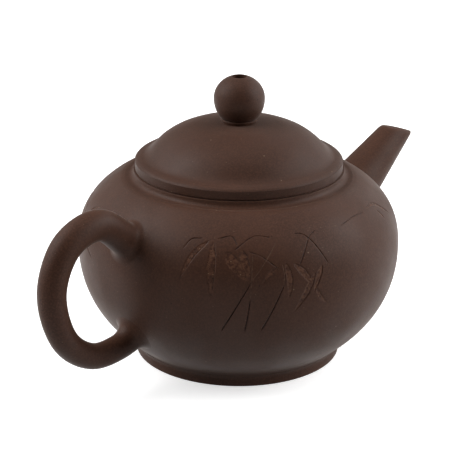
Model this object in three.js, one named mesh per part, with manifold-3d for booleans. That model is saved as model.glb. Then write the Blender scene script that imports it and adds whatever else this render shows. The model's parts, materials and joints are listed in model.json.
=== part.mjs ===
// A small round teapot of unglazed clay, built from the pieces a potter joins: foot, base, wall,
// shoulder, neck, spout, strainer and handle make the pot, and ring, flange, dome, collar and knob
// make the lid that lifts out of it. Millimetres, +Z up. The origin is the middle of the foot, on the
// surface the pot stands on. The spout points along +X and the handle along -X.
import * as THREE from "three";
import { mergeVertices } from "three/addons/utils/BufferGeometryUtils.js";
import Module from "manifold-3d";

const wasm = await Module();
wasm.setup();

// Facets: turned pieces, small turned pieces, and the spout and handle.
const roundSides = 48;
const smallSides = 24;
const limbSides = 20;

// Clay that is cut to fit against a curved neighbour stops this far from it.
const jointGap = 0.3;

// Cutting solids run this far past the faces that they cut.
const overrun = 4;

// Belly and knob are round bodies, each widest at its level. Above and below it they narrow like part
// of an ellipse (roundness 2) or of a squarer curve (more than 2).
const belly = {
  radius: 40.85,
  level: 29,
  below: { depth: 32.7, roundness: 2.1 },
  above: { depth: 22.8, roundness: 2.45 },
};
const knob = {
  radius: 6.45,
  level: 66.75,
  below: { depth: 7.2, roundness: 2.05 },
  above: { depth: 5.85, roundness: 2 },
};
const wall = 2.5;

// Heights at which the pieces are joined, from the table up.
const footTop = 3;
const baseTop = 5.4;
const wallTop = 44.4;
const shoulderTop = 47;
const neckTop = 48.7;
const rimTop = 51;
const domeTop = 60.75;
const collarTop = 61.65;
const lipTop = 72.3;

// Edges that the fingers meet are broken by this much.
const bevel = 0.4;

const foot = { inner: 22.8, outer: 26.3 };
const neck = { inner: 22, outer: 26.6 };

// The shoulder follows the belly's curve up to one height and is flat inside a certain radius.
const shoulder = { curveTop: 46.7, flatRadius: 28.3 };

const lid = { radius: 26.2, plate: 2.3 };
const flange = { outer: 21.7, inner: 19.7, depth: 6 };
const brim = { edge: 25.6, edgeTop: 51.7, shoulder: 24.5, shoulderTop: 52.25, valley: 23.1 };
const dome = { radius: 23.9, level: 49.3, rise: 12.1, innerRadius: 20.8, seatRadius: 5.1 };
const collar = { radius: 4.8 };
const airHole = { radius: 0.9, mouth: 1.8, mouthDepth: 3.6 };

// The spout's axis climbs from inside the belly to the middle of its mouth.
const spout = {
  mouth: new THREE.Vector3(62.55, 0, 45.6),
  climb: THREE.MathUtils.degToRad(34.6),
  length: 30.5,
  mouthRadius: 3.95,
  taper: 0.125,
  wall: 1.5,
  mouthTilt: THREE.MathUtils.degToRad(72),
};
const strainer = { radius: 7.6, wall: 1.4, hole: 1, holes: 6, spread: THREE.MathUtils.degToRad(40) };

// The handle's centreline, from the upper root inside the wall round to the lower root.
const handlePath = [
  [-33.5, 35.2],
  [-38.8, 39.6],
  [-47.2, 45.1],
  [-56.7, 42.3],
  [-61.6, 32],
  [-58, 18.6],
  [-49.8, 12.2],
  [-41.5, 11.85],
  [-33, 14.5],
];
const handle = { upper: 4.1, lower: 3, root: 1.2, rootLength: 0.18, steps: 36 };

// A material of fired clay in the given colour.
function clay(colour) {
  return new THREE.MeshStandardMaterial({ color: colour, roughness: 0.75, metalness: 0 });
}

// Named mesh of one piece.
function piece(name, geometry, colour) {
  const mesh = new THREE.Mesh(geometry, clay(colour));
  mesh.name = name;
  return mesh;
}

// Solid turned about the vertical axis. The outline holds [radius, height] pairs and runs up the
// outside and down the inside.
function turned(outline, sides = roundSides) {
  const points = outline.map(([radius, height]) => new THREE.Vector2(radius, height));
  return new THREE.LatheGeometry(points, sides).rotateX(Math.PI / 2);
}

// Outline closed on itself, for a turned piece with a hole along its axis.
function ring(outline) {
  return [...outline, outline[0]];
}

// Solid for cutting and joining, made of a closed geometry.
function solidOf(geometry) {
  const bare = new THREE.BufferGeometry();
  bare.setAttribute("position", geometry.getAttribute("position"));
  bare.setIndex(geometry.getIndex());
  const welded = mergeVertices(bare, 1e-3);
  const corners = welded.getIndex().array;
  const triVerts = [];
  for (let i = 0; i < corners.length; i += 3) {
    const [a, b, c] = corners.slice(i, i + 3);
    if (a !== b && b !== c && c !== a) triVerts.push(a, b, c);
  }
  return new wasm.Manifold(
    new wasm.Mesh({
      numProp: 3,
      vertProperties: new Float32Array(welded.getAttribute("position").array),
      triVerts: new Uint32Array(triVerts),
    }),
  );
}

// Geometry of a solid that has been cut.
function geometryOf(solid) {
  const { vertProperties, triVerts } = solid.getMesh();
  const geometry = new THREE.BufferGeometry();
  geometry.setAttribute("position", new THREE.BufferAttribute(vertProperties, 3));
  geometry.setIndex(new THREE.BufferAttribute(triVerts, 1));
  geometry.computeVertexNormals();
  return geometry;
}

// Radius at a height of the surface that lies `inset` inside a round body's outer surface.
function radiusOf(body, height, inset = 0) {
  const half = height < body.level ? body.below : body.above;
  const rise = Math.abs(height - body.level) / (half.depth - inset);
  return (body.radius - inset) * (1 - rise ** half.roundness) ** (1 / half.roundness);
}

function bellyRadius(height, inset = 0) {
  return radiusOf(belly, height, inset);
}

// Points [radius, height] on that surface, evenly spaced in height.
function bellyCurve(from, to, steps, inset = 0) {
  const curve = [];
  for (let i = 0; i <= steps; i += 1) {
    const height = from + ((to - from) * i) / steps;
    curve.push([bellyRadius(height, inset), height]);
  }
  return curve;
}

// Solid belly, larger or smaller than the real one, that fits pieces to its outside or its inside.
function bellySolid(inset) {
  const bottom = 1;
  const top = 46;
  const steps = 24;
  return solidOf(turned([[0, bottom], ...bellyCurve(bottom, top, steps, inset), [0, top]]));
}

// Limb of round section along a curve in the vertical plane through the axis: a cylinder bent along
// the curve, with the radius at each step given by a function of the distance along it, 0 to 1.
function limb(curve, radiusAt, steps) {
  const geometry = new THREE.CylinderGeometry(1, 1, 1, limbSides, steps);
  const position = geometry.getAttribute("position");
  const sideways = new THREE.Vector3(0, 1, 0);
  for (let i = 0; i < position.count; i += 1) {
    const along = position.getY(i) + 0.5;
    const radius = radiusAt(along);
    const across = curve.getTangentAt(along).cross(sideways);
    const point = curve.getPointAt(along);
    point.addScaledVector(across, radius * position.getX(i));
    point.addScaledVector(sideways, radius * position.getZ(i));
    position.setXYZ(i, point.x, point.y, point.z);
  }
  return geometry;
}

// Unit vector in the vertical plane through spout and handle, climbing at the given angle.
function climbing(angle) {
  return new THREE.Vector3(Math.cos(angle), 0, Math.sin(angle));
}

// Cone about the spout's axis, from `length` below the mouth to `beyond` above it. It is `inset`
// inside the spout's outer surface.
function spoutCone(inset, length, beyond) {
  const axis = climbing(spout.climb);
  const start = spout.mouth.clone().addScaledVector(axis, -length);
  const end = spout.mouth.clone().addScaledVector(axis, beyond);
  const mouthRadius = spout.mouthRadius - inset;
  const radiusAt = (along) => mouthRadius + spout.taper * (length - along * (length + beyond));
  return solidOf(limb(new THREE.LineCurve3(start, end), radiusAt, 1));
}

// Block whose lower face is the tilted plane of the spout's mouth.
function aboveSpoutMouth() {
  const size = 40;
  const block = new THREE.BoxGeometry(size, size, size).translate(0, 0, size / 2);
  block.rotateY(Math.PI / 2 - spout.mouthTilt);
  return solidOf(block.translate(spout.mouth.x, 0, spout.mouth.z));
}

function footRing() {
  return turned(
    ring([
      [foot.inner + bevel, 0],
      [foot.outer - bevel, 0],
      [foot.outer, bevel],
      [bellyRadius(footTop), footTop],
      [foot.inner, footTop],
      [foot.inner, bevel],
    ]),
  );
}

function baseDisc() {
  return turned([[0, footTop], ...bellyCurve(footTop, baseTop, 2), [0, baseTop]]);
}

function bodyWall() {
  const outside = bellyCurve(baseTop, wallTop, 16);
  const inside = bellyCurve(baseTop, wallTop, 12, wall).reverse();
  const shell = solidOf(turned(ring([...outside, ...inside])));
  return geometryOf(shell.subtract(spoutCone(spout.wall, spout.length, 0)));
}

function shoulderDisc() {
  return turned(
    ring([
      [neck.inner, wallTop],
      ...bellyCurve(wallTop, shoulder.curveTop, 3),
      [shoulder.flatRadius, shoulderTop],
      [neck.inner, shoulderTop],
    ]),
  );
}

function neckRing() {
  return turned(
    ring([
      [neck.inner, shoulderTop],
      [neck.outer, shoulderTop],
      [neck.outer, neckTop - bevel],
      [neck.outer - bevel, neckTop],
      [neck.inner, neckTop],
    ]),
  );
}

function spoutTube() {
  const outer = spoutCone(0, spout.length, overrun);
  const bore = spoutCone(spout.wall, spout.length + overrun, 2 * overrun);
  const tube = outer.subtract(bore).subtract(aboveSpoutMouth());
  return geometryOf(tube.subtract(bellySolid(-jointGap)));
}

// Half-ball that bulges into the pot over the spout's hole, with one hole in the middle and a circle
// of holes round it.
function strainerDome() {
  const inward = climbing(spout.climb).negate();
  const sideways = new THREE.Vector3(0, 1, 0);
  const throat = (spout.mouth.x - bellyRadius(belly.level, wall)) / Math.cos(spout.climb);
  const centre = spout.mouth.clone().addScaledVector(inward, throat);
  const ball = (radius) => {
    const sphere = new THREE.SphereGeometry(radius, smallSides, smallSides / 2);
    return solidOf(sphere.translate(centre.x, centre.y, centre.z));
  };
  const drill = (direction) => {
    const rod = new THREE.CylinderGeometry(strainer.hole, strainer.hole, strainer.radius, 8);
    rod.translate(0, strainer.radius, 0);
    rod.applyQuaternion(new THREE.Quaternion().setFromUnitVectors(sideways, direction));
    return solidOf(rod.translate(centre.x, centre.y, centre.z));
  };
  let shell = ball(strainer.radius).subtract(ball(strainer.radius - strainer.wall));
  shell = shell.intersect(bellySolid(wall + jointGap)).subtract(drill(inward));
  for (let i = 0; i < strainer.holes; i += 1) {
    const tipped = inward.clone().applyAxisAngle(sideways, strainer.spread);
    shell = shell.subtract(drill(tipped.applyAxisAngle(inward, (2 * Math.PI * i) / strainer.holes)));
  }
  return geometryOf(shell);
}

function handleLoop() {
  const points = handlePath.map(([x, z]) => new THREE.Vector3(x, 0, z));
  const curve = new THREE.CatmullRomCurve3(points, false, "centripetal");
  // The handle thins from its upper to its lower arm and swells where it meets the wall.
  const radiusAt = (along) => {
    const nearestRoot = Math.min(along, 1 - along);
    const swell = Math.max(0, 1 - nearestRoot / handle.rootLength) ** 2;
    return THREE.MathUtils.lerp(handle.upper, handle.lower, along) + handle.root * swell;
  };
  return geometryOf(solidOf(limb(curve, radiusAt, handle.steps)).subtract(bellySolid(-jointGap)));
}

function lidRimRing() {
  return turned(
    ring([
      [flange.inner, neckTop],
      [lid.radius - bevel, neckTop],
      [lid.radius, neckTop + bevel],
      [lid.radius, rimTop],
      [flange.inner, rimTop],
    ]),
  );
}

function lidFlange() {
  return turned(
    ring([
      [flange.inner, neckTop - flange.depth],
      [flange.outer, neckTop - flange.depth],
      [flange.outer, neckTop],
      [flange.inner, neckTop],
    ]),
  );
}

// Height of the dome's outer or inner surface, each part of an ellipse, at a distance from the axis.
function domeHeight(radius, plate = 0) {
  const reach = plate ? dome.innerRadius : dome.radius;
  return dome.level + (dome.rise - plate) * Math.sqrt(1 - (radius / reach) ** 2);
}

// Domed plate of the lid: a rounded brim, a shallow valley behind it, the dome, and a flat seat for
// the knob in the middle.
function lidDome() {
  const steps = 7;
  const outside = [];
  for (let i = 0; i <= steps; i += 1) {
    const radius = THREE.MathUtils.lerp(brim.valley, dome.seatRadius, Math.sqrt(i / steps));
    outside.push([radius, Math.min(domeHeight(radius), domeTop)]);
  }
  const inside = [];
  for (let i = 0; i <= steps; i += 1) {
    const radius = flange.inner * Math.sqrt(i / steps) + airHole.radius * (1 - Math.sqrt(i / steps));
    inside.push([radius, Math.max(domeHeight(radius, lid.plate), rimTop)]);
  }
  return turned(
    ring([
      [lid.radius, rimTop],
      [brim.edge, brim.edgeTop],
      [brim.shoulder, brim.shoulderTop],
      ...outside,
      [airHole.radius, domeTop],
      ...inside,
      [flange.inner, rimTop],
    ]),
  );
}

function knobCollar() {
  return turned(
    ring([
      [airHole.radius, domeTop],
      [collar.radius, domeTop],
      [collar.radius, collarTop],
      [airHole.radius, collarTop],
    ]),
    smallSides,
  );
}

// Ball with the air hole down its axis. The top of the ball is pressed flat round the hole, and the
// hole widens like a funnel there.
function lidKnob() {
  const steps = 14;
  const ball = [];
  for (let i = 0; i <= steps; i += 1) {
    const height = lipTop - (lipTop - collarTop) * (1 + Math.cos((Math.PI * i) / steps)) * 0.5;
    ball.push([radiusOf(knob, height), height]);
  }
  return turned(
    ring([
      [airHole.radius, collarTop],
      ...ball,
      [airHole.mouth, lipTop],
      [airHole.radius, lipTop - airHole.mouthDepth],
    ]),
    smallSides,
  );
}

const pot = new THREE.Group();
pot.add(
  piece("foot_ring", footRing(), 0x3a251d),
  piece("base_disc", baseDisc(), 0x3e2a22),
  piece("body_wall", bodyWall(), 0x46322a),
  piece("shoulder_disc", shoulderDisc(), 0x4c382f),
  piece("neck_ring", neckRing(), 0x46322a),
  piece("spout", spoutTube(), 0x4a372f),
  piece("strainer", strainerDome(), 0x46322a),
  piece("handle", handleLoop(), 0x42302a),
);

const lidGroup = new THREE.Group();
lidGroup.add(
  piece("lid_rim_ring", lidRimRing(), 0x46322a),
  piece("lid_flange", lidFlange(), 0x4c382f),
  piece("lid_dome", lidDome(), 0x4c382f),
  piece("knob_collar", knobCollar(), 0x46322a),
  piece("lid_knob", lidKnob(), 0x42302a),
);

const teapot = new THREE.Group();
teapot.add(pot, lidGroup);

export default teapot;
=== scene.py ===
"""Looks of a small round teapot of unglazed clay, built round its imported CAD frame.

Metres, +Z up. The spout points along +X and the handle along -X. Every piece is one mesh, which
replaces the CAD node of the same name, keeps that node's sizes and rides on its body.
"""

import json
import math

import bmesh
import bpy
import numpy as np
from mathutils import Matrix, Vector, noise


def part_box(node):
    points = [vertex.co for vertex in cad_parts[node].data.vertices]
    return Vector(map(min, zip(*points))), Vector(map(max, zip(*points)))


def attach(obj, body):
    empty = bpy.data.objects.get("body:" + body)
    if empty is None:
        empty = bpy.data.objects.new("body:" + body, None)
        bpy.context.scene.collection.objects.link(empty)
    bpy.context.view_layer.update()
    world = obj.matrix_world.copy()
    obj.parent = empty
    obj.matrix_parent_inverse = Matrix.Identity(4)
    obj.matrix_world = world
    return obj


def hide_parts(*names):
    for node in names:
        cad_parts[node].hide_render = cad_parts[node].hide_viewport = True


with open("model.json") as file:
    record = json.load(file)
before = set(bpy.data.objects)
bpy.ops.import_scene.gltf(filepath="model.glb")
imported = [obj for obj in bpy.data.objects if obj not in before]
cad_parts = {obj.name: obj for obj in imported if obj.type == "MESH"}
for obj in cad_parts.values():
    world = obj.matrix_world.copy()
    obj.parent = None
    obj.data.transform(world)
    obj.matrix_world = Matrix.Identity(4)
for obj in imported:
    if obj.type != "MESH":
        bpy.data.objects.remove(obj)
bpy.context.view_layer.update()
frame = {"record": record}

MM = 0.001

# Which body each CAD node rides on.
BODY_OF = {
    node: body
    for body, nodes in frame["record"]["behaviour"]["bodies"].items()
    for node in nodes
}


def reach(node):
    """Outer radius of a turned CAD node."""
    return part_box(node)[1].y


def top(node):
    """Height of a CAD node's highest point."""
    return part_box(node)[1].z


def bottom(node):
    """Height of a CAD node's lowest point."""
    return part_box(node)[0].z


# The belly is a superellipse turned about the axis. It is widest at its level, and it has another
# depth and roundness below that level than above it.
BELLY_RADIUS = reach("body_wall")
BELLY_LEVEL = 29 * MM
BELOW_DEPTH, BELOW_ROUNDNESS = 32.7 * MM, 2.1
ABOVE_DEPTH, ABOVE_ROUNDNESS = 22.8 * MM, 2.45
WALL = 2.5 * MM

# Sides of the turned pieces, sides of the spout and handle and where they are, and the angle above
# which an edge is sharp.
SIDES = 240
LIMB_SIDES = 96
LIMB_ANGLES = np.arange(LIMB_SIDES) * 2 * math.pi / LIMB_SIDES
SHARP_ANGLE = math.radians(30)


def belly_radius(height, inset=0.0):
    """Radius at a height of the surface that lies `inset` inside the belly's outer surface."""
    height = np.asarray(height, float)
    lower = height < BELLY_LEVEL
    depth = np.where(lower, BELOW_DEPTH, ABOVE_DEPTH) - inset
    roundness = np.where(lower, BELOW_ROUNDNESS, ABOVE_ROUNDNESS)
    rise = np.minimum(np.abs(height - BELLY_LEVEL) / depth, 1.0)
    return (BELLY_RADIUS - inset) * (1 - rise**roundness) ** (1 / roundness)


def belly_curve(start, end, step, inset=0.0):
    """Points (radius, height) on that surface between two heights, about `step` apart."""
    samples = 400
    heights = np.linspace(start, end, samples)
    radii = belly_radius(heights, inset)
    lengths = np.concatenate([[0], np.cumsum(np.hypot(np.diff(radii), np.diff(heights)))])
    even = np.linspace(0, lengths[-1], max(2, round(lengths[-1] / step) + 1))
    heights = np.interp(even, lengths, heights)
    return list(zip(belly_radius(heights, inset), heights))


def belly_normals(points):
    """Outward unit normals of the belly beside each point."""
    step = 0.05 * MM
    slope = (belly_radius(points[:, 2] + step) - belly_radius(points[:, 2] - step)) / (2 * step)
    around = points[:, :2] / np.linalg.norm(points[:, :2], axis=1)[:, None]
    normals = np.column_stack([around, -slope])
    return normals / np.linalg.norm(normals, axis=1)[:, None]


def onto_belly(points, inset=0.0):
    """Points moved level, towards or away from the axis, onto the belly's surface or below it."""
    radii = belly_radius(points[..., 2], inset)
    scale = radii / np.hypot(points[..., 0], points[..., 1])
    return np.concatenate([points[..., :2] * scale[..., None], points[..., 2:]], axis=-1)


# ---- outlines and curves ----


def bend(start, corner, end, steps):
    """Points of a curve that leaves start towards the corner and arrives at end from it."""
    start, corner, end = (np.asarray(p, float) for p in (start, corner, end))
    t = np.linspace(0, 1, steps + 1)[:, None]
    return (1 - t) ** 2 * start + 2 * t * (1 - t) * corner + t**2 * end


def rounded(corners, steps=6):
    """Closed outline through corners (radius, height, rounding) in millimetres, each corner cut by a
    curve that begins `rounding` before it."""
    outline = []
    for i, (radius, height, rounding) in enumerate(corners):
        corner = np.array([radius, height])
        if rounding == 0:
            outline.append(corner)
            continue
        before = np.array(corners[i - 1][:2]) - corner
        after = np.array(corners[(i + 1) % len(corners)][:2]) - corner
        start = corner + before / np.linalg.norm(before) * rounding
        end = corner + after / np.linalg.norm(after) * rounding
        outline.extend(bend(start, corner, end, steps))
    return [(radius * MM, height * MM) for radius, height in outline]


def smooth_curve(points, count, dense=60):
    """`count` points, evenly spaced, on the centripetal Catmull-Rom curve through the points."""
    points = np.asarray(points, float)
    first = 2 * points[0] - points[1]
    last = 2 * points[-1] - points[-2]
    padded = np.vstack([first, points, last])
    t = np.linspace(0, 1, dense, endpoint=False)[:, None]
    samples = []
    for p0, p1, p2, p3 in zip(padded, padded[1:], padded[2:], padded[3:]):
        d0, d1, d2 = (np.linalg.norm(b - a) ** 0.5 for a, b in ((p0, p1), (p1, p2), (p2, p3)))
        m1 = d1 * ((p1 - p0) / d0 - (p2 - p0) / (d0 + d1) + (p2 - p1) / d1)
        m2 = d1 * ((p2 - p1) / d1 - (p3 - p1) / (d1 + d2) + (p3 - p2) / d2)
        samples.append(
            (2 * t**3 - 3 * t**2 + 1) * p1
            + (t**3 - 2 * t**2 + t) * m1
            + (3 * t**2 - 2 * t**3) * p2
            + (t**3 - t**2) * m2
        )
    return evenly(np.vstack([*samples, points[-1:]]), count)


def lengths_along(points):
    """Distance along a line of points to each of them."""
    return np.concatenate([[0], np.cumsum(np.linalg.norm(np.diff(points, axis=0), axis=1))])


def evenly(points, count, end=None):
    """`count` points evenly spaced along a line of points, as far as distance `end` if it is given."""
    lengths = lengths_along(points)
    wanted = np.linspace(0, lengths[-1] if end is None else end, count)
    return np.column_stack([np.interp(wanted, lengths, column) for column in points.T])


# ---- meshes ----


def grid_faces(rings, sides):
    """Quads of a tube of rings whose last ring joins the first."""
    ring, side = np.meshgrid(np.arange(rings), np.arange(sides), indexing="ij")
    next_ring, next_side = (ring + 1) % rings, (side + 1) % sides
    corners = [(ring, side), (ring, next_side), (next_ring, next_side), (next_ring, side)]
    return np.stack([r * sides + s for r, s in corners], axis=-1).reshape(-1, 4).tolist()


def mesh_of(name, vertices, faces):
    """Clean mesh: vertices that coincide, as on the axis, are merged."""
    mesh = bpy.data.meshes.new(name)
    mesh.from_pydata(np.asarray(vertices).tolist(), [], faces)
    work = bmesh.new()
    work.from_mesh(mesh)
    bmesh.ops.remove_doubles(work, verts=work.verts, dist=1e-7)
    bmesh.ops.recalc_face_normals(work, faces=work.faces)
    work.to_mesh(mesh)
    work.free()
    return mesh


def turned(name, outline, sides=SIDES):
    """Mesh of a closed outline of (radius, height) points turned about the vertical axis."""
    angles = np.arange(sides) * 2 * math.pi / sides
    radii, heights = np.array(outline).T
    vertices = np.stack(
        [
            np.outer(radii, np.cos(angles)),
            np.outer(radii, np.sin(angles)),
            np.outer(heights, np.ones(sides)),
        ],
        axis=-1,
    )
    return mesh_of(name, vertices.reshape(-1, 3), grid_faces(len(outline), sides))


def mesh_from(name, work):
    """Mesh of what was modelled in a bmesh, which is then freed."""
    mesh = bpy.data.meshes.new(name)
    work.to_mesh(mesh)
    work.free()
    return mesh


def linked(name, data):
    """New object in the scene that shows a mesh, a camera or a light."""
    new = bpy.data.objects.new(name, data)
    bpy.context.scene.collection.objects.link(new)
    return new


def coordinates(mesh):
    """All vertices of a mesh as an array."""
    flat = np.empty(len(mesh.vertices) * 3)
    mesh.vertices.foreach_get("co", flat)
    return flat.reshape(-1, 3)


def move_to(mesh, points):
    """Puts the mesh's vertices at the points."""
    mesh.vertices.foreach_set("co", np.ravel(points))
    mesh.update()


def hand_marks(points, depth):
    """How far below its ideal outline the potter's hand left the clay at each point."""
    broad_size, small_size = 13 * MM, 4 * MM
    marks = np.empty(len(points))
    for i, point in enumerate(points):
        place = Vector(point)
        broad = noise.noise(place / broad_size)
        small = noise.noise(place / small_size)
        marks[i] = 0.5 + 0.4 * broad + 0.1 * small
    return np.clip(marks, 0, 1) * depth


def worked_by_hand(mesh, depth):
    """Presses the surface in a little, unevenly, as burnishing by hand does."""
    points = coordinates(mesh)
    normals = np.array([v.normal for v in mesh.vertices])
    move_to(mesh, points - normals * hand_marks(points, depth)[:, None])
    return mesh


def worked_like_belly(mesh, depth):
    """The same for pieces whose outer surface continues the belly's, so that their seams stay flush."""
    skin = 0.4 * MM
    points = coordinates(mesh)
    radii = np.hypot(points[:, 0], points[:, 1])
    outside = radii > belly_radius(points[:, 2]) - skin
    marks = hand_marks(points[outside], depth)
    points[outside] -= belly_normals(points[outside]) * marks[:, None]
    move_to(mesh, points)
    return mesh


def add_piece(node, mesh, material):
    """Shows the mesh in place of a CAD node, on that node's body and with its finish."""
    mesh.materials.clear()
    mesh.materials.append(material)
    mesh.shade_smooth()
    mesh.set_sharp_from_angle(angle=SHARP_ANGLE)
    piece = linked(node + "_clay", mesh)
    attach(piece, BODY_OF[node])
    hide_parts(node)


def combined(name, mesh, tool, operation):
    """Mesh cut by, or cut to, a second mesh."""
    objects = [linked(name, mesh), linked(name + ".tool", tool)]
    modifier = objects[0].modifiers.new("cut", "BOOLEAN")
    modifier.object = objects[1]
    modifier.operation = operation
    modifier.solver = "EXACT"
    graph = bpy.context.evaluated_depsgraph_get()
    result = bpy.data.meshes.new_from_object(objects[0].evaluated_get(graph))
    for o in objects:
        bpy.data.objects.remove(o)
    return result


def in_fixed_order(name, mesh):
    """The same mesh with its vertices sorted by place and its faces by vertex. A chain of booleans
    leaves them in an order that changes from run to run."""
    points = coordinates(mesh)
    order = np.lexsort(points.T)
    rank = np.argsort(order)
    faces = []
    for polygon in mesh.polygons:
        corners = [int(rank[v]) for v in polygon.vertices]
        first = corners.index(min(corners))
        faces.append(corners[first:] + corners[:first])
    result = bpy.data.meshes.new(name)
    result.from_pydata(points[order].tolist(), [], sorted(faces))
    return result


# ---- turned pieces of the pot ----

FOOT_TOP = top("foot_ring")
BASE_TOP = top("base_disc")
WALL_TOP = top("body_wall")
SHOULDER_TOP = top("shoulder_disc")
NECK_TOP = top("neck_ring")
MOUTH_RADIUS = 22 * MM
FOOT_INNER = 22.8 * MM
COVE_RADIUS = 28.4 * MM
HAND_DEPTH = 0.1 * MM


def foot_fillet():
    """Curve (radius, height) by which the foot flares into the belly."""
    blend_top = 4.9 * MM
    start = (reach("foot_ring") - 0.15 * MM, 1.5 * MM)
    corner = (float(belly_radius(FOOT_TOP)), FOOT_TOP)
    end = (float(belly_radius(blend_top)), blend_top)
    return bend(start, corner, end, 16)


def foot_ring():
    """Ring with worn lower edges, whose outer side is the lower part of the flare."""
    fillet = foot_fillet()
    seam_radius = np.interp(FOOT_TOP, fillet[:, 1], fillet[:, 0])
    side = [tuple(p) for p in fillet if p[1] < FOOT_TOP] + [(seam_radius, FOOT_TOP)]
    outer = reach("foot_ring")
    inner_edge, outer_edge = 0.7 * MM, 0.4 * MM
    sole = bend((FOOT_INNER, inner_edge), (FOOT_INNER, 0), (FOOT_INNER + inner_edge, 0), 6)
    lean = 0.02 * MM
    heel = bend((outer - outer_edge, 0), (outer, 0), (outer - lean, outer_edge), 6)
    return turned("foot_ring", [*map(tuple, sole), *map(tuple, heel), *side, (FOOT_INNER, FOOT_TOP)])


def base_disc():
    """Disc whose edge is the upper part of the flare and the lowest part of the belly."""
    fillet = foot_fillet()
    seam_radius = np.interp(FOOT_TOP, fillet[:, 1], fillet[:, 0])
    flare = [(seam_radius, FOOT_TOP)] + [tuple(p) for p in fillet if p[1] > FOOT_TOP]
    step = 0.3 * MM
    side = belly_curve(flare[-1][1], BASE_TOP, step)[1:]
    return turned("base_disc", [(0, FOOT_TOP), *flare, *side, (0, BASE_TOP)])


def shoulder_disc():
    """The belly's curve runs on up to where the disc is rubbed flat round the neck."""
    curve_top, flat_radius, step = 46.5 * MM, 29.25 * MM, 0.5 * MM
    curve = belly_curve(WALL_TOP, curve_top, step)
    easing = bend(curve[-1], (flat_radius, SHOULDER_TOP), (COVE_RADIUS, SHOULDER_TOP), 8)[1:]
    inner_edge = [(MOUTH_RADIUS, SHOULDER_TOP), (MOUTH_RADIUS, WALL_TOP)]
    return turned("shoulder_disc", [*curve, *map(tuple, easing), *inner_edge])


def neck_ring():
    """Raised ring with softened edges, which spreads in a cove over the shoulder."""
    outer, inner = reach("neck_ring"), MOUTH_RADIUS
    spread_out, wall_foot, edge = 0.2 * MM, 1.05 * MM, 0.12 * MM
    cove = bend(
        (COVE_RADIUS, SHOULDER_TOP),
        (outer + spread_out, SHOULDER_TOP),
        (outer, SHOULDER_TOP + wall_foot),
        12,
    )
    brow = bend((outer, NECK_TOP - edge), (outer, NECK_TOP), (outer - edge, NECK_TOP), 6)
    lip = bend((inner + edge, NECK_TOP), (inner, NECK_TOP), (inner, NECK_TOP - edge), 6)
    return turned("neck_ring", [*map(tuple, np.vstack([cove, brow, lip])), (inner, SHOULDER_TOP)])


# ---- spout ----

SPOUT_MOUTH = np.array([62.55, 0, 45.6]) * MM
SPOUT_CLIMB = math.radians(34.6)
SPOUT_LENGTH = 30.5 * MM
SPOUT_RADIUS = 3.95 * MM
SPOUT_TAPER = 0.125
SPOUT_WALL = 1.5 * MM
MOUTH_TILT = math.radians(72)
SPOUT_AXIS = np.array([math.cos(SPOUT_CLIMB), 0, math.sin(SPOUT_CLIMB)])


def spout_line(angle, inset, start, end, count):
    """Straight line of points down the spout's outer surface, or `inset` inside it. start and end are
    distances along the spout's axis, measured up from the middle of the mouth."""
    above = np.array([-math.sin(SPOUT_CLIMB), 0, math.cos(SPOUT_CLIMB)])
    out = math.cos(angle) * above + math.sin(angle) * np.array([0, 1, 0])
    along = np.linspace(start, end, count)[:, None]
    return SPOUT_MOUTH + along * SPOUT_AXIS + (SPOUT_RADIUS - inset - SPOUT_TAPER * along) * out


def mouth_distance(angle, inset):
    """Where that line meets the tilted plane of the mouth, as a distance along the axis."""
    normal = np.array([math.cos(MOUTH_TILT), 0, math.sin(MOUTH_TILT)])
    at_centre, further = spout_line(angle, inset, 0, MM, 2) - SPOUT_MOUTH
    gain = (further - at_centre) @ normal / MM
    return -(at_centre @ normal) / gain


def outside_belly(points):
    """How far each point is outside the belly, measured level."""
    return np.hypot(points[..., 0], points[..., 1]) - belly_radius(points[..., 2])


def crossing(line):
    """Distance along a line of points at which it enters the belly."""
    lengths = lengths_along(line)
    gap = outside_belly(line)
    i = int(np.argmax(gap < 0))
    return lengths[i - 1] + (lengths[i] - lengths[i - 1]) * gap[i - 1] / (gap[i - 1] - gap[i])


def at_distance(line, distance):
    """Point at a distance along a line of points."""
    lengths = lengths_along(line)
    return np.array([np.interp(distance, lengths, column) for column in line.T])


def landed(line, centre, fillet, count, steps=10):
    """A line of points down a limb, ended in a curve that runs out on the belly's surface and then dips
    under it. centre is where the limb's own axis enters the belly."""
    tuck = 0.06 * MM
    hit_distance = crossing(line)
    hit = at_distance(line, hit_distance)
    normal = belly_normals(hit[None])[0]
    away = hit - centre
    away -= normal * (away @ normal)
    landing = onto_belly(hit + away / np.linalg.norm(away) * fillet, tuck)
    straight = evenly(line, count, hit_distance - fillet)
    return np.vstack([straight, bend(straight[-1], hit, landing, steps)[1:]])


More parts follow.
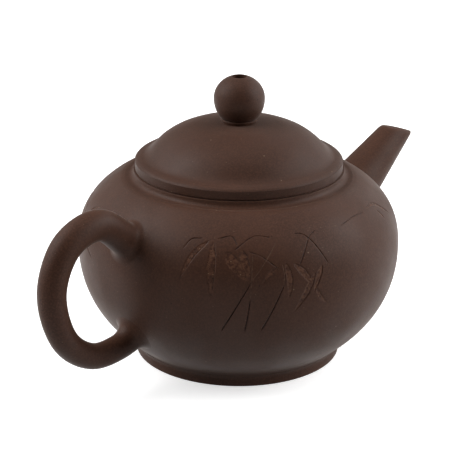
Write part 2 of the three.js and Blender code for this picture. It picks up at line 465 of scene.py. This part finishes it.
def spout():
    """Tapered tube with a rounded lip, blended into the belly."""
    fillet, overlap = 2.2 * MM, 0.1 * MM
    lip_outside, lip_inside = 1.7 * MM, 0.8 * MM
    axis_line = SPOUT_MOUTH - np.linspace(0, 1, 200)[:, None] * SPOUT_LENGTH * SPOUT_AXIS
    centre = at_distance(axis_line, crossing(axis_line))
    lines = []
    for angle in LIMB_ANGLES:
        rim_out = mouth_distance(angle, 0)
        rim_in = mouth_distance(angle, SPOUT_WALL)
        outside = spout_line(angle, 0, rim_out - lip_outside, -SPOUT_LENGTH, 300)
        bore = spout_line(angle, SPOUT_WALL, rim_in - lip_inside, -SPOUT_LENGTH, 300)
        bore = evenly(bore, 24, crossing(bore) + overlap)
        outer_corner = spout_line(angle, 0, rim_out, rim_out, 1)[0]
        inner_corner = spout_line(angle, SPOUT_WALL, rim_in, rim_in, 1)[0]
        crest = 0.45 * outer_corner + 0.55 * inner_corner
        inner_lip = bend(bore[0], inner_corner, crest, 6)[1:]
        outer_lip = bend(crest, outer_corner, outside[0], 8)[1:-1]
        lip = np.vstack([inner_lip, outer_lip])
        lines.append(np.vstack([bore[::-1], lip, landed(outside, centre, fillet, 40)]))
    grid = np.array(lines).transpose(1, 0, 2)
    return mesh_of("spout", grid.reshape(-1, 3), grid_faces(*grid.shape[:2]))


def spout_bore():
    """Plug of the lower part of the spout's bore, which pierces the wall."""
    top_end, low_end = -12 * MM, -SPOUT_LENGTH
    middles = [SPOUT_MOUTH + end * SPOUT_AXIS for end in (top_end, low_end)]
    lines = []
    for angle in LIMB_ANGLES:
        ends = spout_line(angle, SPOUT_WALL, top_end, low_end, 2)
        lines.append(np.vstack([middles[0], ends, middles[1]]))
    grid = np.array(lines).transpose(1, 0, 2)
    return mesh_of("bore", grid.reshape(-1, 3), grid_faces(*grid.shape[:2]))


def ball(centre, radius):
    """Fine ball."""
    work = bmesh.new()
    bmesh.ops.create_uvsphere(work, u_segments=96, v_segments=48, radius=radius)
    bmesh.ops.translate(work, verts=work.verts, vec=Vector(centre))
    return mesh_from("ball", work)


def rod(start, end, radius):
    """Round rod between two points."""
    work = bmesh.new()
    direction = Vector(end) - Vector(start)
    turn = direction.to_track_quat("Z", "Y").to_matrix().to_4x4()
    place = Matrix.Translation((Vector(start) + Vector(end)) / 2) @ turn
    bmesh.ops.create_cone(
        work,
        cap_ends=True,
        segments=32,
        radius1=radius,
        radius2=radius,
        depth=direction.length,
        matrix=place,
    )
    return mesh_from("rod", work)


def strainer():
    """Half-ball pierced with one hole in the middle and a circle of holes round it."""
    radius, thickness, hole = 7.6 * MM, 1.4 * MM, 1 * MM
    holes, spread_angle = 6, math.radians(40)
    throat = (SPOUT_MOUTH[0] - float(belly_radius(BELLY_LEVEL, WALL))) / math.cos(SPOUT_CLIMB)
    centre = SPOUT_MOUTH - throat * SPOUT_AXIS
    inward = Vector(-SPOUT_AXIS)
    shell = combined("strainer", ball(centre, radius), ball(centre, radius - thickness), "DIFFERENCE")
    low, high, step, gap = 2 * MM, 46 * MM, 0.6 * MM, 0.05 * MM
    inner_wall = belly_curve(low, high, step, WALL + gap)
    cavity = turned("cavity", [(0, low), *inner_wall, (0, high)])
    shell = combined("strainer", shell, cavity, "INTERSECT")
    tipped = Matrix.Rotation(spread_angle, 3, "Y") @ inward
    directions = [inward] + [
        Matrix.Rotation(2 * math.pi * i / holes, 3, inward) @ tipped for i in range(holes)
    ]
    for direction in directions:
        start = Vector(centre) + direction * radius * 0.5
        end = Vector(centre) + direction * radius * 1.5
        shell = combined("strainer", shell, rod(start, end, hole), "DIFFERENCE")
    return in_fixed_order("strainer", shell)


# ---- handle ----

# Centreline (x, z) in millimetres from the upper root inside the wall round to the lower root.
HANDLE_PATH = [
    (-33.5, 35.2),
    (-38.8, 39.6),
    (-47.2, 45.1),
    (-56.7, 42.3),
    (-61.6, 32),
    (-58, 18.6),
    (-49.8, 12.2),
    (-41.5, 11.85),
    (-33, 14.5),
]
HANDLE_UPPER, HANDLE_LOWER = 4.1 * MM, 3 * MM

# How much a root swells, and the share of the handle's length over which it does.
ROOT_SWELL, ROOT_LENGTH = 0.9 * MM, 0.18


def handle():
    """Loop of round section that thins downwards. It swells at both roots, and is blended into the
    belly there, more on the side of the finger's gap."""
    fillets = {"upper": (1.7 * MM, 2.6 * MM), "lower": (2.6 * MM, 4 * MM)}
    points = [(x * MM, 0, z * MM) for x, z in HANDLE_PATH]
    path = smooth_curve(points, 400)
    along = np.linspace(0, 1, len(path))
    nearest_root = np.minimum(along, 1 - along)
    swell = ROOT_SWELL * np.maximum(0, 1 - nearest_root / ROOT_LENGTH) ** 2
    plain = HANDLE_UPPER + (HANDLE_LOWER - HANDLE_UPPER) * along
    tangents = np.gradient(path, axis=0)
    tangents /= np.linalg.norm(tangents, axis=1)[:, None]
    sideways = np.array([0, 1, 0])
    to_gap = np.cross(tangents, sideways)
    middle = len(path) // 2
    upper_axis, lower_axis = path[middle::-1], path[middle:]
    upper_centre = at_distance(upper_axis, crossing(upper_axis))
    lower_centre = at_distance(lower_axis, crossing(lower_axis))
    lines = []
    for angle in LIMB_ANGLES:
        radii = plain + swell * (0.6 + 0.4 * math.cos(angle))
        line = path + radii[:, None] * (math.cos(angle) * to_gap + math.sin(angle) * sideways)
        facing_gap = max(0, math.cos(angle))
        upper_fillet, lower_fillet = (np.interp(facing_gap, (0, 1), f) for f in fillets.values())
        upper = landed(line[middle::-1], upper_centre, upper_fillet, 70)
        lower = landed(line[middle:], lower_centre, lower_fillet, 70)
        lines.append(np.vstack([upper[::-1], lower[1:]]))
    grid = np.array(lines).transpose(1, 0, 2)
    caps = [np.broadcast_to(ring.mean(axis=0), ring[None].shape) for ring in (grid[0], grid[-1])]
    grid = np.concatenate([caps[0], grid, caps[1]])
    rings, sides = grid.shape[:2]
    faces = grid_faces(rings, sides)[: (rings - 1) * sides]
    return mesh_of("handle", grid.reshape(-1, 3), faces)


# ---- the drawing carved in the belly ----

# Each stroke: kind, width and depth in millimetres, and points (azimuth in degrees, height in
# millimetres) on the belly. Azimuth 0 is the spout's side. A generic spray of bamboo: stalks are cut
# deep at the foot and only scratched higher up, twigs are thin cuts, and leaves are scraped out.
STROKES = [
    ("scratch", 0.26, 0.1, [(-121, 42), (-126.3, 37.8), (-131, 33.6)]),
    ("stalk", 0.42, 0.26, [(-131, 33.6), (-136, 27.3), (-141, 20.8)]),
    ("scratch", 0.24, 0.08, [(-130.3, 39.6), (-130.8, 34.5), (-131.3, 29.5)]),
    ("stalk", 0.4, 0.24, [(-131.3, 29.5), (-132, 25.3), (-133, 20.8)]),
    ("scratch", 0.26, 0.1, [(-120, 37.4), (-119.6, 35), (-119.8, 32.7)]),
    ("stalk", 0.42, 0.25, [(-119.8, 32.7), (-123.4, 26.9), (-127.5, 20.8)]),
    ("twig", 0.3, 0.13, [(-137, 40.5), (-129.5, 43.1), (-123, 42.8)]),
    ("twig", 0.3, 0.13, [(-143, 42.6), (-138, 43.1), (-135.5, 41.3)]),
    ("twig", 0.3, 0.13, [(-114, 43.1), (-110.5, 42.8), (-107.5, 41.3), (-103, 36)]),
    ("twig", 0.3, 0.13, [(-104.5, 43), (-108, 42), (-114, 36.7)]),
    ("twig", 0.3, 0.13, [(-132, 40.3), (-127.5, 39.3), (-121.5, 36.4)]),
    ("twig", 0.3, 0.13, [(-155.5, 40.2), (-153, 42.2), (-149, 42.5)]),
    ("leaf", 1.5, 0.14, [(-146.5, 42.2), (-151.5, 39.2), (-155.5, 33.3)]),
    ("leaf", 2.2, 0.14, [(-144.6, 42), (-144.6, 36), (-144.2, 29)]),
    ("leaf", 3.2, 0.15, [(-139.5, 40.2), (-136.2, 37.4), (-132.3, 33.8)]),
    ("leaf", 2.4, 0.15, [(-134, 40.6), (-132.8, 37.4), (-131.2, 33.8)]),
    ("leaf", 1.3, 0.14, [(-121.4, 36.9), (-124.5, 35.4), (-127.6, 33)]),
    ("leaf", 1.7, 0.13, [(-118.8, 37.5), (-117.8, 33.5), (-118.2, 29)]),
    ("leaf", 1.9, 0.14, [(-116, 37.2), (-112.5, 34.8), (-109.3, 31.2)]),
    ("leaf", 1.7, 0.14, [(-108.6, 34.5), (-112, 30), (-116.3, 25.3)]),
    ("leaf", 1.5, 0.14, [(-105.6, 36), (-107.6, 33), (-109.3, 29.5)]),
    ("leaf", 1.1, 0.12, [(-108.5, 31), (-106.5, 28.2), (-103.5, 26)]),
    ("twig", 0.3, 0.13, [(-92, 42.7), (-83, 43.3), (-75.5, 43.1)]),
    ("leaf", 1.1, 0.14, [(-72, 43.4), (-64, 43), (-56, 39)]),
    ("leaf", 0.8, 0.12, [(-66, 42), (-65, 41), (-64, 39.5)]),
    ("stalk", 0.42, 0.22, [(132, 41.5), (150, 35.5), (163, 31)]),
    ("twig", 0.3, 0.13, [(148, 36.2), (141, 35.5), (134, 33)]),
    ("leaf", 1.7, 0.14, [(141, 38.5), (136, 37), (131, 33)]),
    ("leaf", 1.6, 0.14, [(132, 41.3), (126, 40.2), (120, 36.5)]),
    ("leaf", 1.5, 0.14, [(146, 36.6), (150, 40.5), (155, 42.3)]),
    ("leaf", 1.4, 0.14, [(150, 35.5), (149, 32), (145, 28.5)]),
]


def stroke_path(points):
    """Evenly spaced points on the belly under a stroke."""
    azimuth, height = np.radians([p[0] for p in points]), np.array([p[1] for p in points]) * MM
    radius = belly_radius(height)
    corners = np.column_stack([radius * np.cos(azimuth), radius * np.sin(azimuth), height])
    rough = smooth_curve(corners, 40)
    count = round(lengths_along(rough)[-1] / (0.1 * MM))
    return onto_belly(evenly(rough, count))


def half_width(kind, width, along):
    """Half the stroke's width at each share of its length: a leaf is pointed, and a line has short
    tapered ends."""
    if kind == "leaf":
        return width / 2 * np.sin(math.pi * np.clip(along, 0, 1) ** 0.75) ** 0.8
    swell = 0.5 + 0.5 * along if kind == "stalk" else 1
    tapered_share = 0.06
    ends = np.clip(np.minimum(along, 1 - along) / tapered_share, 0.3, 1)
    return width / 2 * swell * ends


class Stroke:
    """One carved stroke, measured on the belly's surface."""

    def __init__(self, kind, width, depth, points):
        self.kind = kind
        self.depth = depth * MM
        self.path = stroke_path(points)
        self.along = np.linspace(0, 1, len(self.path))
        self.half = half_width(kind, width * MM, self.along)
        normals = belly_normals(self.path)
        self.across = np.cross(normals, np.gradient(self.path, axis=0))
        self.across /= np.linalg.norm(self.across, axis=1)[:, None]

    def near(self, points, margin):
        """Which points are in the box round the stroke, widened by a margin."""
        low = self.path.min(axis=0) - margin - self.half.max()
        high = self.path.max(axis=0) + margin + self.half.max()
        return np.nonzero(np.all((points > low) & (points < high), axis=1))[0]

    def measure(self, points):
        """Nearest place on the path, distance to the path and distance to one side, of each point."""
        gap = points[:, None] - self.path[None]
        distance = np.sqrt((gap**2).sum(axis=-1))
        nearest = distance.argmin(axis=1)
        rows = np.arange(len(points))
        side = (gap[rows, nearest] * self.across[nearest]).sum(axis=1)
        return nearest, distance[rows, nearest], side


def clearance(points, strokes, margin):
    """Distance of each point from the edge of the nearest stroke, up to the margin."""
    result = np.full(len(points), margin)
    for stroke in strokes:
        rows = stroke.near(points, margin)
        if len(rows):
            nearest, distance, _ = stroke.measure(points[rows])
            result[rows] = np.minimum(result[rows], distance - stroke.half[nearest])
    return result


def carved(points, strokes):
    """Depth of the carving at each point, and how much of each kind of mark the point is in."""
    margin, slope, knife_width = 0.5 * MM, 0.22 * MM, 0.14 * MM
    ragged_size, grain_size = 0.7 * MM, 0.35 * MM
    depth = np.zeros(len(points))
    marks = {kind: np.zeros(len(points)) for kind in ("scraped", "cut", "scratched")}

    def mark(kind, rows, amount):
        marks[kind][rows] = np.maximum(marks[kind][rows], amount)

    for stroke in strokes:
        rows = stroke.near(points, margin)
        if not len(rows):
            continue
        nearest, distance, side = stroke.measure(points[rows])
        ragged = np.array([noise.noise(Vector(p) / ragged_size) for p in points[rows]])
        half = stroke.half[nearest] * (1 + 0.22 * ragged)
        if stroke.kind == "leaf":
            inside = np.clip((half - distance) / slope, 0, 1)
            inside = inside**2 * (3 - 2 * inside)
            grain = np.array([noise.noise(Vector(p) / grain_size) for p in points[rows]])
            knife = np.exp(-(((side - 0.75 * half) / knife_width) ** 2)) * inside
            own = stroke.depth * (inside * (0.75 + 0.4 * grain) + 0.5 * knife)
            mark("scraped", rows, inside)
            # The knife line along a leaf's side gets the cut lines' patina and painted shade.
            mark("cut", rows, 0.6 * knife)
        else:
            groove = np.clip(1 - (distance / np.maximum(half, 1e-6)) ** 2, 0, 1)
            own = stroke.depth * groove * (1 + 0.25 * ragged)
            strength = 1 if stroke.kind == "stalk" else np.clip(0.65 + 1.1 * ragged, 0, 1)
            # Stalks and twigs are marked for the cut lines' patina and painted shade.
            mark("scratched" if stroke.kind == "scratch" else "cut", rows, groove * strength)
        depth[rows] = np.maximum(depth[rows], own)
    return depth, marks


def refined_near(mesh, strokes):
    """Splits the outer faces near the strokes, ever finer towards them."""
    skin = 0.2 * MM
    work = bmesh.new()
    work.from_mesh(mesh)
    for band in (1.3 * MM, 0.7 * MM, 0.3 * MM):
        faces = list(work.faces)
        centres = np.array([f.calc_center_median() for f in faces])
        outer = np.abs(outside_belly(centres)) < skin
        near = outer & (clearance(centres, strokes, 2 * band) < band)
        edges = {e for f, wanted in zip(faces, near) if wanted for e in f.edges}
        bmesh.ops.subdivide_edges(work, edges=list(edges), cuts=1, use_grid_fill=True)
    wide = [f for f in work.faces if len(f.verts) > 4]
    bmesh.ops.triangulate(work, faces=wide)
    work.to_mesh(mesh)
    work.free()
    return mesh


def body_wall():
    """The beaten wall: round belly, hollow, pierced at the spout and carved on the outside."""
    outer_step, inner_step, skin = 1 * MM, 2 * MM, 0.3 * MM
    outside = belly_curve(BASE_TOP, WALL_TOP, outer_step)
    inside = belly_curve(BASE_TOP, WALL_TOP, inner_step, WALL)[::-1]
    mesh = turned("body_wall", outside + inside)
    mesh = combined("body_wall", mesh, spout_bore(), "DIFFERENCE")
    strokes = [Stroke(*s) for s in STROKES]
    mesh = refined_near(mesh, strokes)
    points = coordinates(mesh)
    outer = np.abs(outside_belly(points)) < skin
    points[outer] = onto_belly(points[outer])
    depth, marks = carved(points, strokes)
    pressed = depth[outer] + hand_marks(points[outer], HAND_DEPTH)
    points[outer] -= belly_normals(points[outer]) * pressed[:, None]
    move_to(mesh, points)
    for kind, amount in marks.items():
        factor = mesh.attributes.new(kind, "FLOAT", "POINT")
        factor.data.foreach_set("value", np.where(outer, amount, 0).astype(np.float32))
    return mesh


# ---- lid ----

LID_RADIUS = reach("lid_rim_ring")
RIM_TOP = top("lid_rim_ring")
DOME_TOP = top("lid_dome")
COLLAR_TOP = top("knob_collar")
KNOB_TOP = top("lid_knob")
FLANGE_OUTER = reach("lid_flange")
FLANGE_INNER = 19.7 * MM
AIR_HOLE = 0.9 * MM


def lid_rim_ring():
    """Flat ring, its lower outer edge rounded, whose upper side the dome continues."""
    outer, low, high, inner = (v / MM for v in (LID_RADIUS, NECK_TOP, RIM_TOP, FLANGE_INNER))
    return turned(
        "lid_rim_ring",
        rounded([(inner, low, 0), (outer, low, 0.45), (outer, high, 0), (inner, high, 0)]),
    )


def lid_flange():
    """Collar that drops into the mouth, its lower edge rounded."""
    inner, outer = FLANGE_INNER / MM, FLANGE_OUTER / MM
    low, high = bottom("lid_flange") / MM, NECK_TOP / MM
    return turned(
        "lid_flange",
        rounded([(inner, low, 0.6), (outer, low, 0.7), (outer, high, 0), (inner, high, 0)]),
    )


def lid_dome():
    """Domed plate: rounded brim, shallow valley, dome, and a slight seat for the knob's collar."""
    profile = [
        (LID_RADIUS / MM, RIM_TOP / MM),
        (25.85, 51.4),
        (24.9, 51.8),
        (23.9, 52.1),
        (23.0, 52.65),
        (22.2, 53.4),
        (21.2, 54.5),
        (19.5, 56.1),
        (16.5, 58.07),
        (11.4, 60.02),
        (8.4, 60.5),
        (6.5, 60.65),
        (5.05, 60.7),
    ]
    outside = smooth_curve([(r * MM, z * MM) for r, z in profile], 100)
    seat = [(4.65 * MM, 60.7 * MM), (4.5 * MM, DOME_TOP), (AIR_HOLE, DOME_TOP)]
    plate, clear = 2.3 * MM, 0.1 * MM
    reach_inside, drop_inside = 20.8 * MM, 9.5 * MM
    underside = []
    for radius in np.linspace(AIR_HOLE, FLANGE_INNER - 1 * MM, 24):
        drop = 1 - math.sqrt(1 - (radius / reach_inside) ** 2)
        height = DOME_TOP - plate - drop * drop_inside
        if height > RIM_TOP + clear:
            underside.append((radius, height))
    return turned("lid_dome", [*map(tuple, outside), *seat, *underside, (FLANGE_INNER, RIM_TOP)])


def knob_collar():
    """Thin disc, wider at its rubbed upper edge than at the dome."""
    radius, low, high = reach("knob_collar") / MM, DOME_TOP / MM, COLLAR_TOP / MM
    hole = AIR_HOLE / MM
    return turned(
        "knob_collar",
        rounded([(hole, low, 0), (radius - 0.3, low, 0.1), (radius, high, 0.45), (hole, high, 0)]),
    )


def lid_knob():
    """Ball with the air hole down its axis. The hole is wide, with a sharp rim, in the knob's top."""
    level = 66.75 * MM
    below, above = (7.2 * MM, 2.05), (5.85 * MM, 2)
    radius = reach("lid_knob")
    steps, sides = 48, 144
    skin = []
    for i in range(steps + 1):
        height = KNOB_TOP - (KNOB_TOP - COLLAR_TOP) * (1 + math.cos(math.pi * i / steps)) / 2
        depth, roundness = below if height < level else above
        rise = abs(height - level) / depth
        skin.append((radius * (1 - rise**roundness) ** (1 / roundness), height))
    mouth, rim, mouth_depth, narrowing = 1.8 * MM, 0.1 * MM, 3.2 * MM, 0.6 * MM
    lip_start = (mouth + rim, KNOB_TOP - 0.02 * MM)
    lip = bend(lip_start, (mouth, KNOB_TOP), (mouth, KNOB_TOP - rim), 4)
    throat = [(mouth, KNOB_TOP - mouth_depth), (AIR_HOLE, KNOB_TOP - mouth_depth - narrowing)]
    outline = [(AIR_HOLE, COLLAR_TOP), *skin[:-1], *map(tuple, lip), *throat]
    return turned("lid_knob", outline, sides)


# ---- materials ----

POT_COLOUR = (0.043, 0.0172, 0.0095)
# The pot's clay a tenth darker: painted shade that dims the lid, collar and knob, which face the
# overhead light.
LID_SHADED_COLOUR = (0.039, 0.016, 0.0092)
INNER_COLOUR = (0.055, 0.0255, 0.0165)
SAND_COLOUR = (0.15, 0.095, 0.06)
FINE_SAND_COLOUR = (0.1, 0.055, 0.036)
RAW_DARK = (0.036, 0.0135, 0.0075)
RAW_LIGHT = (0.1, 0.043, 0.024)
CLAY_DUST = (0.19, 0.115, 0.07)
# Light of the scratched lines: a painted highlight where the scratch's edge catches the light, over the
# raw clay a scratch bares.
SCRATCH_CLAY_AND_HIGHLIGHT = (0.12, 0.064, 0.039)
# Dark of the cut lines and of each leaf's knife line: partly the patina that gathers in the grooves,
# partly painted shade in them.
CUT_SHADE_AND_PATINA = (0.016, 0.0062, 0.0035)
# Near-black specks in the scraped leaves: painted shade of tiny pits left by the scraping.
PIT_SHADE_COLOUR = (0.008, 0.003, 0.002)


def new_material(name):
    """Material, its node tree and its shader."""
    material = bpy.data.materials.new(name)
    material.use_nodes = True
    return material, material.node_tree, material.node_tree.nodes["Principled BSDF"]


def add_node(tree, kind, values=(), **settings):
    """Node of a kind, with its settings and the values of its named inputs."""
    node = tree.nodes.new(kind)
    for name, value in settings.items():
        setattr(node, name, value)
    for name, value in dict(values).items():
        node.inputs[name].default_value = value
    return node


def noise_at(tree, place, size, detail=3.0, roughness=0.55):
    """Noise with features of a size in metres, from 0 to 1."""
    values = {"Scale": 1 / size, "Detail": detail, "Roughness": roughness}
    node = add_node(tree, "ShaderNodeTexNoise", values)
    tree.links.new(place, node.inputs["Vector"])
    return node.outputs["Fac"]


def spread(tree, factor, low, high, to_low=0.0, to_high=1.0):
    """A factor stretched from one range to another, smoothly."""
    values = {"From Min": low, "From Max": high, "To Min": to_low, "To Max": to_high}
    node = add_node(tree, "ShaderNodeMapRange", values, interpolation_type="SMOOTHSTEP")
    tree.links.new(factor, node.inputs["Value"])
    return node.outputs["Result"]


def mixed(tree, factor, first, second):
    """Colour between two colours, each a socket or a value."""
    node = add_node(tree, "ShaderNodeMix", data_type="RGBA")
    tree.links.new(factor, node.inputs["Factor"])
    colour_inputs = [s for s in node.inputs if s.type == "RGBA"]
    for socket, value in zip(colour_inputs, (first, second)):
        if isinstance(value, bpy.types.NodeSocket):
            tree.links.new(value, socket)
        else:
            socket.default_value = (*value, 1)
    return next(s for s in node.outputs if s.type == "RGBA")


def specks(tree, place, spacing, radius, share):
    """Factor that is 1 in small round specks: a share of the cells of a given spacing hold one."""
    cells = add_node(tree, "ShaderNodeTexVoronoi", {"Scale": 1 / spacing})
    tree.links.new(place, cells.inputs["Vector"])
    chosen = add_node(tree, "ShaderNodeSeparateColor")
    tree.links.new(cells.outputs["Color"], chosen.inputs["Color"])
    sudden = 0.001
    kept = spread(tree, chosen.outputs["Red"], 1 - share, 1 - share + sudden)
    near = spread(tree, cells.outputs["Distance"], 0.6 * radius / spacing, radius / spacing, 1, 0)
    both = add_node(tree, "ShaderNodeMath", operation="MULTIPLY")
    tree.links.new(kept, both.inputs[0])
    tree.links.new(near, both.inputs[1])
    return both.outputs[0]


def marked(tree, kind):
    """How much of one kind of carved mark a place is in."""
    return add_node(tree, "ShaderNodeAttribute", attribute_name=kind).outputs["Fac"]


def carved_colour(tree, place, skin):
    """Colour of the carving: raw, crumbly clay in the scraped leaves with painted shade in tiny pits, a
    painted highlight over bared clay in the scratches, and dark in the cut lines, partly patina and
    partly painted shade.
    """
    crumbs = noise_at(tree, place, 0.9 * MM, 4, 0.7)
    raw = mixed(tree, spread(tree, crumbs, 0.36, 0.64), RAW_DARK, RAW_LIGHT)
    # Painted shade of tiny pits in the scraped clay.
    pit_shade = specks(tree, place, 0.85 * MM, 0.18 * MM, 0.2)
    pit_shaded = mixed(tree, pit_shade, raw, PIT_SHADE_COLOUR)
    dust = specks(tree, place, 0.7 * MM, 0.16 * MM, 0.12)
    dusty = mixed(tree, dust, pit_shaded, CLAY_DUST)
    leaves = mixed(tree, marked(tree, "scraped"), skin, dusty)
    # Scratches: painted highlight over bared clay.
    pale = mixed(tree, marked(tree, "scratched"), leaves, SCRATCH_CLAY_AND_HIGHLIGHT)
    # Cut lines: patina and painted shade.
    return mixed(tree, spread(tree, marked(tree, "cut"), 0.1, 0.9), pale, CUT_SHADE_AND_PATINA)


def clay(name, colour, roughness, drawn_on=False):
    """Fine unglazed clay: uneven tone, close grain, and sparse sand and iron specks."""
    material, tree, shader = new_material(name)
    place = add_node(tree, "ShaderNodeTexCoord").outputs["Object"]
    darker = [c * 0.88 for c in colour]
    lighter = [c * s for c, s in zip(colour, (1.1, 1.12, 1.15))]
    tone = mixed(tree, spread(tree, noise_at(tree, place, 14 * MM), 0.3, 0.7), darker, lighter)
    grain = noise_at(tree, place, 0.45 * MM, 4, 0.7)
    grained = mixed(tree, spread(tree, grain, 0.35, 0.75, 0, 0.7), tone, [c * 1.9 for c in colour])
    sand = specks(tree, place, 2.6 * MM, 0.22 * MM, 0.06)
    sanded = mixed(tree, sand, grained, SAND_COLOUR)
    fine_sand = specks(tree, place, 1.3 * MM, 0.15 * MM, 0.28)
    sanded = mixed(tree, fine_sand, sanded, FINE_SAND_COLOUR)
    iron = specks(tree, place, 2.1 * MM, 0.2 * MM, 0.08)
    painted = mixed(tree, iron, sanded, [c * 0.35 for c in colour])
    if drawn_on:
        painted = carved_colour(tree, place, painted)
    tree.links.new(painted, shader.inputs["Base Color"])
    polish = spread(tree, noise_at(tree, place, 9 * MM), 0.3, 0.7, roughness - 0.05, roughness + 0.06)
    tree.links.new(polish, shader.inputs["Roughness"])
    shader.inputs["Specular IOR Level"].default_value = 0.14
    shader.inputs["Sheen Weight"].default_value = 0.16
    shader.inputs["Sheen Roughness"].default_value = 0.32
    shader.inputs["Sheen Tint"].default_value = (1, 0.92, 0.85, 1)
    bump = add_node(tree, "ShaderNodeBump", {"Strength": 0.5, "Distance": 0.03 * MM})
    tree.links.new(grain, bump.inputs["Height"])
    tree.links.new(bump.outputs["Normal"], shader.inputs["Normal"])
    return material


def paper():
    """Matt white paper, lit from below as a product table is."""
    material, _, shader = new_material("paper")
    shader.inputs["Base Color"].default_value = (0.8, 0.8, 0.8, 1)
    shader.inputs["Roughness"].default_value = 1
    shader.inputs["Specular IOR Level"].default_value = 0
    shader.inputs["Emission Color"].default_value = (1, 1, 1, 1)
    shader.inputs["Emission Strength"].default_value = 0.6
    return material


# ---- pieces in place ----

BURNISHED, UNBURNISHED = 0.52, 0.75
pot_clay = clay("pot_clay", POT_COLOUR, BURNISHED)
carved_clay = clay("carved_pot_clay", POT_COLOUR, BURNISHED, drawn_on=True)
# Lid, collar and knob: the pot's clay darkened as painted shade on these top-lit parts.
lid_clay = clay("lid_clay", LID_SHADED_COLOUR, BURNISHED)
inner_clay = clay("inner_clay", INNER_COLOUR, UNBURNISHED)

add_piece("foot_ring", worked_by_hand(foot_ring(), 0.03 * MM), pot_clay)
add_piece("base_disc", worked_like_belly(base_disc(), HAND_DEPTH), pot_clay)
add_piece("body_wall", body_wall(), carved_clay)
add_piece("shoulder_disc", worked_like_belly(shoulder_disc(), HAND_DEPTH), pot_clay)
add_piece("neck_ring", worked_by_hand(neck_ring(), 0.08 * MM), pot_clay)
add_piece("spout", worked_by_hand(spout(), HAND_DEPTH), pot_clay)
add_piece("strainer", strainer(), inner_clay)
add_piece("handle", worked_by_hand(handle(), HAND_DEPTH), pot_clay)
add_piece("lid_rim_ring", worked_by_hand(lid_rim_ring(), 0.05 * MM), lid_clay)
add_piece("lid_flange", worked_by_hand(lid_flange(), 0.05 * MM), inner_clay)
add_piece("lid_dome", worked_by_hand(lid_dome(), 0.08 * MM), lid_clay)
add_piece("knob_collar", knob_collar(), lid_clay)
add_piece("lid_knob", worked_by_hand(lid_knob(), 0.06 * MM), lid_clay)


# ---- floor, camera and lights ----

# How far the floor reaches from the pot.
FLOOR_REACH = 3

# Name, azimuth and elevation in degrees, and power in watts of each softbox round the pot.
SOFTBOXES = [
    ("overhead", 60, 85, 0.85),
    ("high left", 135, 40, 4.2),
    ("back left", 95, 30, 0.6),
    ("high right", -45, 40, 1.9),
    ("low right", -45, 24, 2.0),
    ("back right", 0, 30, 1.0),
]


def towards(azimuth, elevation):
    """Unit vector from the pot in a direction given in degrees."""
    azimuth, elevation = math.radians(azimuth), math.radians(elevation)
    level = math.cos(elevation)
    return Vector((level * math.cos(azimuth), level * math.sin(azimuth), math.sin(elevation)))


def add_floor():
    """Large plane under the foot."""
    mesh = bpy.data.meshes.new("floor")
    reach = FLOOR_REACH
    corners = [(-reach, -reach, 0), (reach, -reach, 0), (reach, reach, 0), (-reach, reach, 0)]
    mesh.from_pydata(corners, [], [(0, 1, 2, 3)])
    mesh.materials.append(paper())
    floor = linked("floor", mesh)
    floor.visible_diffuse = False


def add_backdrop():
    """Round wall of the same paper at the floor's far edge, which only a low camera sees."""
    radius, height = FLOOR_REACH, 1.5
    wall = bmesh.new()
    place = Matrix.Translation((0, 0, height / 2))
    bmesh.ops.create_cone(
        wall, segments=96, radius1=radius, radius2=radius, depth=height, matrix=place
    )
    mesh = mesh_from("backdrop", wall)
    mesh.materials.append(paper())
    backdrop = linked("backdrop", mesh)
    backdrop.visible_diffuse = False
    backdrop.visible_glossy = False
    backdrop.visible_shadow = False


def add_camera():
    """Camera behind the handle's shoulder, on the side opposite the spout, looking a little down."""
    azimuth, elevation, distance = -135, 20.28, 0.45
    roll = math.radians(0.3)
    target = Vector((-2.41, 2.41, 33)) * MM
    data = bpy.data.cameras.new("camera")
    data.sensor_width = 36
    data.lens = 141.04
    camera = linked("camera", data)
    backwards = towards(azimuth, elevation)
    camera.location = target + backwards * distance
    turn = backwards.to_track_quat("Z", "Y").to_matrix()
    camera.rotation_euler = (turn @ Matrix.Rotation(roll, 3, "Z")).to_euler()
    bpy.context.scene.camera = camera


def add_softbox(name, azimuth, elevation, power):
    """Square area light that faces the middle of the pot from an azimuth and elevation in degrees."""
    distance, size = 0.6, 0.5
    middle = Vector((0, 0, 0.03))
    data = bpy.data.lights.new(name, "AREA")
    data.size = size
    data.energy = power
    lamp = linked(name, data)
    lamp.location = towards(azimuth, elevation) * distance
    lamp.rotation_euler = (lamp.location - middle).to_track_quat("Z", "Y").to_euler()


def set_world(colour, strength):
    """Even light from all round."""
    world = bpy.data.worlds.new("studio")
    world.use_nodes = True
    background = world.node_tree.nodes["Background"]
    background.inputs["Color"].default_value = (*colour, 1)
    background.inputs["Strength"].default_value = strength
    bpy.context.scene.world = world


add_floor()
add_backdrop()
add_camera()
for name, azimuth, elevation, power in SOFTBOXES:
    add_softbox(name, azimuth, elevation, power)
set_world((1, 1, 1), 0.11)
bpy.context.scene.view_settings.view_transform = "Standard"
